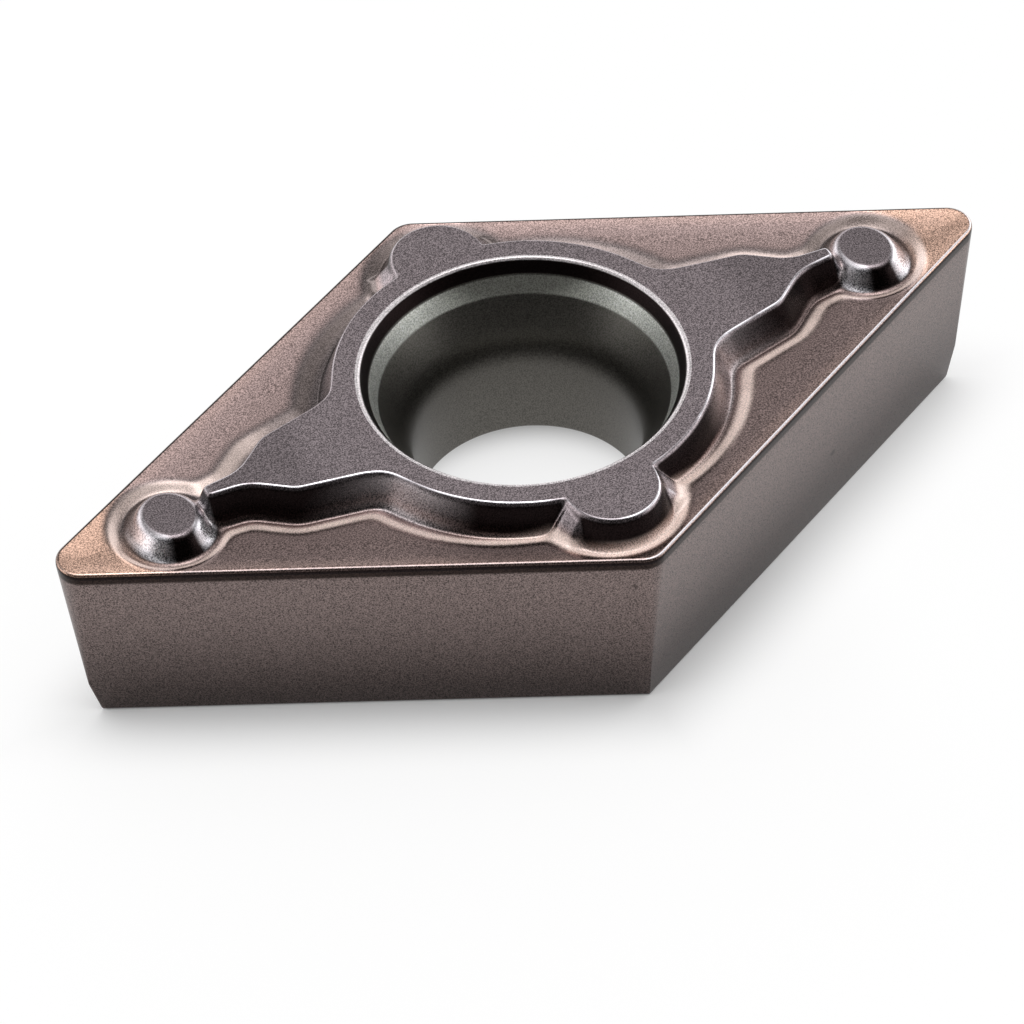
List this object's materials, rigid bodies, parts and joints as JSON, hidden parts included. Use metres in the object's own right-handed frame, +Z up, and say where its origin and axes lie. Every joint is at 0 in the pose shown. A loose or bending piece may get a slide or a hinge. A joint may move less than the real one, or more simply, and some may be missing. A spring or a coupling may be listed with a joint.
{
  "type": "carbide insert",
  "caption": "Single-sided 55 degree rhombic turning insert with clearance faces, a moulded chip breaker on top and a countersunk screw hole through the middle.",
  "frame": {"origin": "middle of the seat face, on the axis of the screw hole", "axes": "+Z up along the screw hole, out of its mouth; X along the long diagonal; Y along the short diagonal"},
  "size_m": [0.0194, 0.0106, 0.0046],
  "materials": {
    "coated_carbide": "satin, fine-grained hard coating on sintered carbide"
  },
  "bodies": {
    "root": {"carbide_insert": "coated_carbide"}
  },
  "joints": []
}
